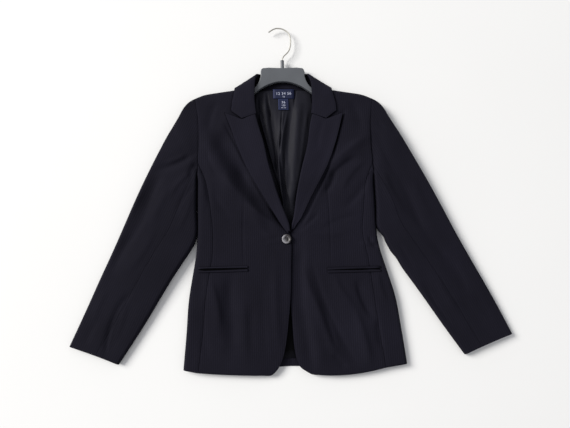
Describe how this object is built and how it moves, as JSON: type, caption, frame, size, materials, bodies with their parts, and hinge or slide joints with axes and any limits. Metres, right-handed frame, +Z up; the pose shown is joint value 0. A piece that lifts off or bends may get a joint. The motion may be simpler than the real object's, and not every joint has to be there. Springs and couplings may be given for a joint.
{
  "type": "single breasted blazer on a hanger",
  "caption": "Tailored single breasted blazer with peaked lapels, jetted pockets, rounded front hem and long sleeves, laid flat on its plain plastic hanger.",
  "frame": {"origin": "middle of the outline on the floor, under the waist", "axes": "+X towards the wearer's left sleeve, +Y towards the collar and hook, +Z up off the floor"},
  "size_m": [0.909, 0.7629, 0.0263],
  "materials": {
    "jacket_cloth": "matte, fine tonal rib",
    "lining_satin": "satin",
    "woven_label": "satin",
    "button_resin": "gloss",
    "hanger_plastic": "satin",
    "hook_steel": "satin"
  },
  "bodies": {
    "root": {"front_right": "jacket_cloth", "side_right": "jacket_cloth", "back_right": "jacket_cloth", "sleeve_top_right": "jacket_cloth", "sleeve_under_right": "jacket_cloth", "lapel_right": "jacket_cloth", "welt_upper_right": "jacket_cloth", "welt_lower_right": "jacket_cloth", "front_left": "jacket_cloth", "side_left": "jacket_cloth", "back_left": "jacket_cloth", "sleeve_top_left": "jacket_cloth", "sleeve_under_left": "jacket_cloth", "lapel_left": "jacket_cloth", "welt_upper_left": "jacket_cloth", "welt_lower_left": "jacket_cloth", "collar": "jacket_cloth", "lining_back": "lining_satin", "neck_label": "woven_label", "size_label": "woven_label", "button": "button_resin", "hanger_body": "hanger_plastic", "hanger_hook": "hook_steel"}
  },
  "joints": []
}
